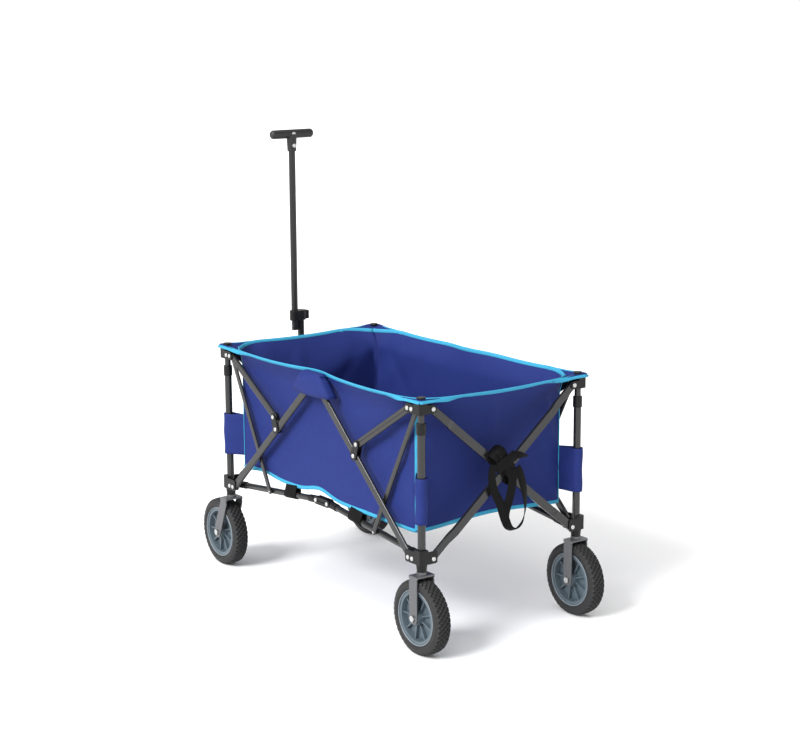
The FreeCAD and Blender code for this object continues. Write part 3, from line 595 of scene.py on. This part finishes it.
def flap_leg(wall, side):
    """One leg of a corner flap, from the end of the straight rim to the tip: its inner rim line,
    tucked under the rim's tape, and its outer edge."""
    inner, outer = [], []
    half, _, round_along, _ = wall.high
    tip = TIP_X if wall.kind == "long" else TIP_Y
    for share in steps(0, 1, FLAP_STEPS):
        tuck = RIM_TAPE * 0.6 * smooth(share * 2.5)
        top = wall.world(*wall.top(side * mix(STRAIGHT_SHARE, 1.0, share)))
        inner.append(top - Vector((0, 0, tuck)))
        along = mix(half - round_along, tip, share)
        outer.append(wall.world(side * along, *wall.rim(along)))
    return inner, outer


def corner_flap(corner):
    """The cloth over one top bracket, from the inner rim line to the tip, taped on its outer edges."""
    side_x, side_y = CORNERS[corner]
    long_wall, end_wall = Wall("long", side_y), Wall("end", side_x)
    long_inner, long_outer = flap_leg(long_wall, side_x)
    end_inner, end_outer = flap_leg(end_wall, side_y)
    inner = long_inner + end_inner[-2::-1]
    outer = long_outer + end_outer[-2::-1]
    rows = []
    for share in steps(0, 1, 8):
        row = []
        for near, far in list(zip(inner, outer))[1:-1]:
            point = near.lerp(far, share)
            from_post = math.hypot(point.x - POST[corner].x, point.y - POST[corner].y)
            point.z += 0.003 * smooth(1 - from_post / 0.05)
            row.append(point)
        rows.append(row)
    piece = Piece("corner_flap_" + corner, (FABRIC, BINDING))
    piece.sheet(rows, CLOTH, FABRIC)
    for leg, level, wall, side in (
        (long_outer, Vector((0, side_y, 0)), long_wall, side_x),
        (end_outer, Vector((side_x, 0, 0)), end_wall, side_y),
    ):
        # The tape starts with the wall's lean and tips over towards the post.
        edge, outs = [], []
        lean = wall.slope(side * STRAIGHT_SHARE)
        start = -math.atan2(lean.dot(level), lean.z)
        for i, point in enumerate(leg):
            tilt = mix(start, 0.30 * math.pi, smooth(i / 8))
            out = level * math.cos(tilt) + Vector((0, 0, math.sin(tilt)))
            across = level * math.sin(tilt) - Vector((0, 0, math.cos(tilt)))
            inset = 0.004 * math.sin(max(0.0, tilt))
            edge.append(point + across * (RIM_TAPE / 2 - TAPE_PAST) - level * inset)
            outs.append(out)
        piece.tape(edge, outs, RIM_TAPE, TAPE_THICK, BINDING)
    piece.done("upper_" + corner)


SLEEVE_Z = (0.318, 0.428)
SLEEVE_RADIUS = 0.0136


def sleeve(corner):
    """The loose cloth loop that ties the tub's corner to a post."""
    side_x, side_y = CORNERS[corner]
    post = POST[corner]
    seat = (MID.x + side_x * (WALL_X - 0.004), side_y * (WALL_Y - 0.004))
    line, _ = belt_line((post.x, post.y), SLEEVE_RADIUS, seat, CLOTH, 12)
    rows = []
    for share in steps(0, 1, 14):
        z = mix(*SLEEVE_Z, share)
        slack = 0.0012 * math.sin(9 * share + side_x + 2 * side_y)
        row = []
        for point in line:
            away = (point - post.xy).length
            row.append(Vector((point.x, point.y + slack * smooth(away / 0.02), z)))
        rows.append(row)
    piece = Piece("post_sleeve_" + corner, (FABRIC,))
    piece.sheet(rows, CLOTH, FABRIC, round_ring=True)
    piece.done("upper_" + corner)


for corner in CORNERS:
    corner_flap(corner)
    sleeve(corner)


def apex_flap(name):
    """The cloth folded over the rim and down outside the joint at the middle of a long side."""
    side = SIDES[name]
    face = max(abs(corner.y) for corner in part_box("apex_joint_" + name)) + 0.005
    rim_out, rim_z = long_rim(0)
    line = [
        (rim_out + 0.0015, rim_z - 0.0075),
        (rim_out + 0.0060, rim_z - 0.0045),
        (mix(rim_out, face, 0.55), rim_z - 0.0040),
        (mix(rim_out, face, 0.85), rim_z - 0.0065),
        (face + 0.0005, rim_z - 0.0120),
        (face + 0.0020, rim_z - 0.0200),
        (face + 0.0025, rim_z - 0.0300),
        (face + 0.0025, rim_z - 0.0420),
        (face + 0.0015, rim_z - 0.0520),
        (face + 0.0010, rim_z - 0.0620),
    ]
    lengths = travelled([Vector((out, z, 0)) for out, z in line])
    # Places across the flap, each with how far it turns in, or down at the rim, to close the side.
    across = [(-1, turned) for turned in steps(1, 0, 3)[:-1]]
    across += [(place, 0) for place in steps(-1, 1, 20)]
    across += [(1, turned) for turned in steps(0, 1, 3)[1:]]
    rows = []
    for (out, z), length in zip(line, lengths):
        down = max(0.0, (length - lengths[3]) / (lengths[-1] - lengths[3]))
        half = mix(0.039, 0.080, down)
        closed = max(0.0, out - rim_out - 0.004) * smooth(down * 6)
        skirt = 0.013 * (1 - smooth(down * 6))
        row = []
        for place, turned in across:
            along = place * (half + 0.003 * turned)
            curl = -0.003 * down * place * place - closed * turned
            lift = 0.004 * down * place * place - skirt * turned
            row.append(Vector((MID.x + along, side * (out + curl), z + lift)))
        rows.append(row)
    piece = Piece("apex_flap_" + name, (FABRIC,))
    piece.sheet(rows, CLOTH, FABRIC)
    piece.done("apex_joint_" + name)


for name in SIDES:
    apex_flap(name)


# The half length and half width of the level middle of the tub's floor, and how far above the hems
# the floor meets the walls.
LEVEL_X = 0.280
LEVEL_Y = 0.120
SEAM_LIFT = 0.004


def floor_height(along, out):
    """The tub's floor, level in the middle and lifting to the walls' hems."""
    base = FLOOR_Z + 0.001
    to_long = smooth((out - LEVEL_Y) / (WALL_Y - LEVEL_Y))
    to_end = smooth((abs(along) - LEVEL_X) / (WALL_X - LEVEL_X)) * (1 - to_long)
    lift_long = long_hem(along) + SEAM_LIFT - base
    lift_end = end_hem(out) + SEAM_LIFT - base
    dimple = 0.0012 * math.sin(31 * along) * math.sin(37 * out)
    return base + lift_long * to_long + lift_end * to_end + dimple * (1 - to_long)


def floor_panel(corner):
    """A quarter of the floor, which rides on one rail."""
    side_x, side_y = CORNERS[corner]
    grid = []
    for along in steps(0, WALL_X - 0.001, 28):
        row = []
        for out in steps(0, WALL_Y - 0.001, 18):
            z = floor_height(side_x * along, out)
            row.append(Vector((MID.x + side_x * along, side_y * out, z)))
        grid.append(row)
    piece = Piece("tub_floor_" + corner, (FABRIC,))
    piece.sheet(grid, CLOTH, FABRIC)
    made = piece.done("rail_" + corner)
    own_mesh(made)


# A rail falls from its joint near the middle of the side to its post.
RAIL_Y = HALF_Y - 0.015
RAIL_JOINT_X = 0.025
RAIL_JOINT_Z = 0.274
RAIL_SLOPE = math.atan2(0.042, 0.387)
LOOP_X = 0.145
LOOP_WIDTH = 0.052
LOOP_THICK = 0.0018
LOOP_RADIUS = 0.0096


def floor_loop(corner):
    """A webbing loop round a rail that holds the tub's floor down."""
    side_x, side_y = CORNERS[corner]
    rail_z = RAIL_JOINT_Z - (LOOP_X - RAIL_JOINT_X) * math.tan(RAIL_SLOPE)
    centre = Vector((MID.x + side_x * LOOP_X, side_y * RAIL_Y, rail_z))
    upper_end = (centre.y - side_y * 0.004, FLOOR_Z - 0.006)
    line, outs = belt_line(centre.yz, LOOP_RADIUS, upper_end, 0.0060, 14)
    turned = Matrix.Rotation(side_x * RAIL_SLOPE, 3, "Y")
    path = [centre + turned @ (Vector((centre.x, *point)) - centre) for point in line]
    faces = [turned @ Vector((0, *out)) for out in outs]
    piece = Piece("floor_loop_" + corner, (WEBBING,))
    piece.tape(path, faces, LOOP_WIDTH, LOOP_THICK, WEBBING, closed=True)
    return piece.done("rail_" + corner)


for corner in CORNERS:
    floor_panel(corner)
    floor_loop(corner)
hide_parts("floor_straps")


# ---------------------------------------------------------------- the rear strap


def spline(points, count):
    """A smooth line through points, with count steps between each two."""
    found = []
    last = len(points) - 1
    for i in range(last):
        before, after = points[max(i - 1, 0)], points[min(i + 2, last)]
        for step in range(count):
            t = step / count
            a, b = points[i], points[i + 1]
            lead = (b - before) / 2
            trail = (after - a) / 2
            found.append(
                a * (2 * t**3 - 3 * t**2 + 1)
                + lead * (t**3 - 2 * t**2 + t)
                + b * (3 * t**2 - 2 * t**3)
                + trail * (t**3 - t**2)
            )
    return found + [points[-1]]


STRAP_THICK = 0.0020
KNOT_THICK = 0.0035
OUTWARD = Vector((-1, 0, 0))


def rear_strap():
    """Webbing tied round the rear crossing, with a pointed tail and a hanging loop."""
    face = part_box("rear_strap")[0].x - 0.001
    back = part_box("scissor_rear_inner")[1].x + 0.003
    piece = Piece("rear_strap_webbing", (WEBBING,))

    def on_face(y, z, out):
        return Vector((face - out, y, z))

    # Two turns round the crossing: the angle below level, the lift off the face, and the width.
    centre = Vector((0, 0.006, 0.4255))
    reach, bend = 0.040, 0.010
    for lean, lift, width in ((math.radians(50), 0.004, 0.034), (math.radians(62), 0.0075, 0.026)):
        heading = Vector((0, -math.cos(lean), -math.sin(lean)))
        middle_x, depth = (face - lift + back) / 2, (back - face + lift) / 2
        line, outs = belt_line((0, -reach), bend, (0, reach), bend, 8)
        path, faces = [], []
        for point, out in zip(line, outs):
            place = centre + heading * point.y
            path.append(Vector((middle_x + point.x / bend * depth, place.y, place.z)))
            faces.append((Vector((out.x, 0, 0)) + heading * out.y).normalized())
        piece.tape(path, faces, width, KNOT_THICK, WEBBING, closed=True)
    # The knot's cross turn and its pointed tail.
    cross = [
        on_face(0.038, 0.418, 0.004),
        on_face(0.012, 0.440, 0.013),
        on_face(-0.012, 0.452, 0.012),
    ]
    line = spline(cross, 8)
    piece.tape(line, [Vector((-1, 0, 0.1))] * len(line), 0.026, KNOT_THICK, WEBBING)
    tail = [
        on_face(-0.006, 0.452, 0.010),
        on_face(-0.030, 0.449, 0.012),
        on_face(-0.056, 0.442, 0.006),
    ]
    line = spline(tail, 8)
    narrow = [1.0 - 0.75 * smooth((i / (len(line) - 1) - 0.35) / 0.65) for i in range(len(line))]
    piece.tape(line, [Vector((-1, 0, 0.2))] * len(line), 0.018, 0.0030, WEBBING, widths=narrow)
    # The long loop, which turns its broad face out at both ends, and the short strand beside it.
    loop = [
        on_face(0.048, 0.436, 0.006),
        on_face(0.052, 0.405, 0.004),
        on_face(0.044, 0.370, 0.004),
        on_face(0.026, 0.335, 0.005),
        on_face(0.014, 0.300, 0.006),
        on_face(0.000, 0.273, 0.006),
        on_face(-0.022, 0.266, 0.006),
        on_face(-0.042, 0.282, 0.006),
        on_face(-0.050, 0.315, 0.007),
        on_face(-0.046, 0.355, 0.007),
        on_face(-0.036, 0.395, 0.006),
        on_face(-0.024, 0.418, 0.005),
    ]
    line = spline(loop, 6)
    heart = on_face(-0.018, 0.320, 0.0)
    outs = []
    for i, point in enumerate(line):
        flat = smooth(abs(i / (len(line) - 1) - 0.55) / 0.45)
        radial = (point - heart).normalized()
        outs.append((radial * (1 - flat) * 1.3 + OUTWARD * (0.45 + flat)).normalized())
    piece.tape(line, outs, 0.022, STRAP_THICK, WEBBING)
    strand = [
        on_face(-0.006, 0.420, 0.009),
        on_face(-0.006, 0.385, 0.010),
        on_face(0.000, 0.350, 0.009),
        on_face(0.012, 0.318, 0.009),
        on_face(0.016, 0.292, 0.009),
    ]
    line = spline(strand, 6)
    piece.tape(line, [Vector((-1, 0.35, 0)).normalized()] * len(line), 0.021, STRAP_THICK, WEBBING)
    made = piece.done("rear_strap")
    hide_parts("rear_strap")


rear_strap()


# ---------------------------------------------------------------- tyres

TREAD_PITCHES = 44
TREAD_DEPTH = 0.0037
STEPS_PER_PITCH = 12

# How far the tread falls from its middle to its edge, and how much further the shoulder falls.
CROWN_DROP = 0.0030
SHOULDER_DROP = 0.010


def tyre_mesh(radius, rim_radius, half):
    """A tyre about the Y axis, with crossed ridges round small pits and a thin light ring each side."""
    piece = Piece("tyre", (TYRE, RING))
    profile = []
    for share in steps(-1, 1, 44):
        shoulder = smooth((abs(share) - 0.72) / 0.28) ** 2
        reach = radius - CROWN_DROP * share * share - SHOULDER_DROP * shoulder
        profile.append((share * half, reach, abs(share)))
    lower = rim_radius + 0.001
    inner = [(half, lower + 0.008, 1.0), (half - 0.002, lower, 1.0)]
    closing = [(-y, r, share) for y, r, share in reversed(inner)]
    loop = profile + inner + closing
    turns = TREAD_PITCHES * STEPS_PER_PITCH
    girth = 2 * math.pi * radius
    pitch = girth / TREAD_PITCHES
    rings = []
    for i in range(turns):
        angle = 2 * math.pi * i / turns
        ring = []
        for y, r, share in loop:
            ridge = 0.0
            for slant in (-1, 1):
                place = (i / STEPS_PER_PITCH + slant * y / pitch) % 1.0
                ridge = max(ridge, 1 - smooth((abs(place - 0.5) - 0.09) / 0.12))
            reach = r - TREAD_DEPTH * (1 - ridge) * (1 - smooth((share - 0.80) / 0.16))
            ring.append(piece.mesh.verts.new((reach * math.cos(angle), y, reach * math.sin(angle))))
        rings.append(ring)
    lengths = steps(0, girth, turns)
    widths = travelled([Vector((y, r, 0)) for y, r, _ in loop + loop[:1]])
    piece.skin(rings, lengths, widths, TYRE, True, True)
    for side in (-1, 1):
        path, outs = [], []
        for i in range(96):
            angle = 2 * math.pi * i / 96
            out = Vector((math.cos(angle), 0, math.sin(angle)))
            path.append(out * (rim_radius + 0.0006) + Vector((0, side * (half - 0.0028), 0)))
            outs.append(out)
        piece.tape(path, outs, 0.0036, 0.0014, RING, closed=True)
    return piece.finished_mesh()


low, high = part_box("tyre_rl")
rim_low, rim_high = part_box("rim_rl")
shared_tyre = tyre_mesh((high.z - low.z) / 2, (rim_high.z - rim_low.z) / 2, (high.y - low.y) / 2)
for corner in CORNERS:
    low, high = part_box("tyre_" + corner)
    tyre = bpy.data.objects.new("tread_" + corner, shared_tyre)
    tyre.location = (low + high) / 2
    bpy.context.scene.collection.objects.link(tyre)
    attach(tyre, "wheel_" + corner)
    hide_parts("tyre_" + corner)


# ---------------------------------------------------------------- finishes of the CAD nodes


def solids_of(mesh):
    """The separate solids of a mesh: a list of (faces, size), with points that coincide taken as one."""
    leader = {}

    def find(key):
        while leader[key] != key:
            leader[key] = leader[leader[key]]
            key = leader[key]
        return key

    keys = [tuple(round(part, 6) for part in vertex.co) for vertex in mesh.vertices]
    for key in keys:
        leader.setdefault(key, key)
    for face in mesh.polygons:
        first = find(keys[face.vertices[0]])
        for index in face.vertices[1:]:
            leader[find(keys[index])] = first
    groups = {}
    for face in mesh.polygons:
        groups.setdefault(find(keys[face.vertices[0]]), []).append(face)
    found = []
    for faces in groups.values():
        points = [mesh.vertices[index].co for face in faces for index in face.vertices]
        size = [max(p[axis] for p in points) - min(p[axis] for p in points) for axis in range(3)]
        found.append((faces, size))
    return found


# A rivet is thinner across and shorter than this.
RIVET_THICK = 0.0116
RIVET_LONG = 0.060

# A rail's or side bar's tube and the handle's lower tube are longer than this, and their fittings
# are shorter.
BAR_LONG = 0.060
HANDLE_LONG = 0.150

# A lower post's faces further than this from its axis belong to its black collar,
# and a fork's faces further than this from its middle belong to the nuts on its axle.
COLLAR_FROM = 0.0102
NUT_FROM = (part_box("fork_rl")[1].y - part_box("fork_rl")[0].y) / 2 - 0.0030


def finish_of(name, size):
    """The material of one solid of a CAD node, by what it is."""
    longest = max(size)
    if sorted(size)[1] <= RIVET_THICK and longest < RIVET_LONG:
        return ZINC
    if name.startswith(("lower_post", "upper_post", "short_bar", "strut", "scissor", "apex_joint")):
        return STEEL
    if name.startswith("rail_joint"):
        return PLASTIC
    if name.startswith(("rail", "long_bar")):
        return STEEL if longest > BAR_LONG else PLASTIC
    if name.startswith("fork"):
        return FORK_STEEL
    if name.startswith("rim"):
        return RIM
    if name == "handle_lower":
        return BLACK_TUBE if longest > HANDLE_LONG else PLASTIC
    if name == "handle_upper":
        return BLACK_TUBE
    if name == "handle_grip":
        return GRIP
    return PLASTIC


def finish_of_face(name, away, finish):
    """The material of one face of a solid with that finish; away is its place from the node's middle.
    A collar and an axle's nuts share points with the tube and the fork, so they go by their place."""
    if name.startswith("lower_post") and math.hypot(away.x, away.y) > COLLAR_FROM:
        return PLASTIC
    if name.startswith("fork") and abs(away.y) > NUT_FROM:
        return ZINC
    return finish


def dress(name, made):
    """Gives each solid of a CAD node its finish, and its edges a small round."""
    mesh = made.data
    mesh.materials.clear()
    middle = sum(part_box(name), Vector()) / 2
    used = []
    for faces, size in solids_of(mesh):
        finish = finish_of(name, size)
        for face in faces:
            material = finish_of_face(name, made.matrix_world @ face.center - middle, finish)
            if material not in used:
                used.append(material)
                mesh.materials.append(material)
            face.material_index = used.index(material)
            face.use_smooth = True
    weld = made.modifiers.new("weld", "WELD")
    weld.merge_threshold = 0.000005
    bevel = made.modifiers.new("soft_edges", "BEVEL")
    bevel.width = 0.00045
    bevel.segments = 2
    bevel.limit_method = "ANGLE"
    bevel.angle_limit = math.radians(38)
    normals = made.modifiers.new("even_normals", "WEIGHTED_NORMAL")
    normals.weight = 100


for name, made in sorted(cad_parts.items()):
    if not made.hide_render:
        dress(name, made)


# ---------------------------------------------------------------- floor, light and camera


FLOOR_REACH = 400.0

# The studio's walls are white and its ceiling is darker.
WALL_LIGHT = 1.05
CEILING_LIGHT = 0.20


def stage_floor():
    """A white floor under the wheels that reaches the horizon."""
    mesh = bmesh.new()
    bmesh.ops.create_grid(mesh, x_segments=1, y_segments=1, size=FLOOR_REACH)
    data = bpy.data.meshes.new("floor")
    mesh.to_mesh(data)
    mesh.free()
    made = bpy.data.objects.new("floor", data)
    made.location.z = cad_box[0].z
    data.materials.append(plain("floor_paint", (0.93, 0.93, 0.93, 1.0), 0.9))
    bpy.context.scene.collection.objects.link(made)


def soft_light(name, comes_from, strength, spread):
    """A very wide, even light from one direction."""
    data = bpy.data.lights.new(name, "SUN")
    data.energy = strength
    data.angle = math.radians(spread)
    made = bpy.data.objects.new(name, data)
    made.rotation_euler = Vector(comes_from).to_track_quat("Z", "Y").to_euler()
    made.location = Vector(comes_from).normalized() * 5
    bpy.context.scene.collection.objects.link(made)


def studio_world():
    """Even light from all round, which fades from the walls' to the ceiling's with height."""
    world = bpy.data.worlds.new("studio")
    world.use_nodes = True
    nodes, links = world.node_tree.nodes, world.node_tree.links
    backdrop = nodes["Background"]
    backdrop.inputs["Color"].default_value = (1, 1, 1, 1)
    towards = nodes.new("ShaderNodeTexCoord")
    height = nodes.new("ShaderNodeSeparateXYZ")
    fade = nodes.new("ShaderNodeMapRange")
    fade.interpolation_type = "SMOOTHSTEP"
    fade.inputs["From Min"].default_value = 0.26
    fade.inputs["From Max"].default_value = 0.48
    fade.inputs["To Min"].default_value = WALL_LIGHT
    fade.inputs["To Max"].default_value = CEILING_LIGHT
    links.new(towards.outputs["Generated"], height.inputs[0])
    links.new(height.outputs["Z"], fade.inputs["Value"])
    links.new(fade.outputs["Result"], backdrop.inputs["Strength"])
    bpy.context.scene.world = world
    bpy.context.scene.view_settings.view_transform = "Standard"


stage_floor()
soft_light("key", (-0.3, 2.7, 1.9), 3.9, 26)
soft_light("top", (-0.3, 0.5, 3.0), 2.2, 80)
studio_world()

# The camera's place and directions, fitted to the photo's view of the cart.
CAMERA_AT = Vector((-3.7094, 2.6870, 1.5129))
CAMERA_RIGHT = Vector((-0.5916, -0.8062, -0.0060)).normalized()
CAMERA_AHEAD = Vector((0.7901, -0.5783, -0.2033)).normalized()
camera_up = CAMERA_RIGHT.cross(CAMERA_AHEAD)
camera_data = bpy.data.cameras.new("camera")
camera_data.sensor_width = 36.0
camera_data.lens = 81.9
camera_data.clip_end = 2.5 * FLOOR_REACH
camera = bpy.data.objects.new("camera", camera_data)
turn = Matrix((CAMERA_RIGHT, camera_up, -CAMERA_AHEAD)).transposed().to_4x4()
camera.matrix_world = Matrix.Translation(CAMERA_AT) @ turn
bpy.context.scene.collection.objects.link(camera)
bpy.context.scene.camera = camera
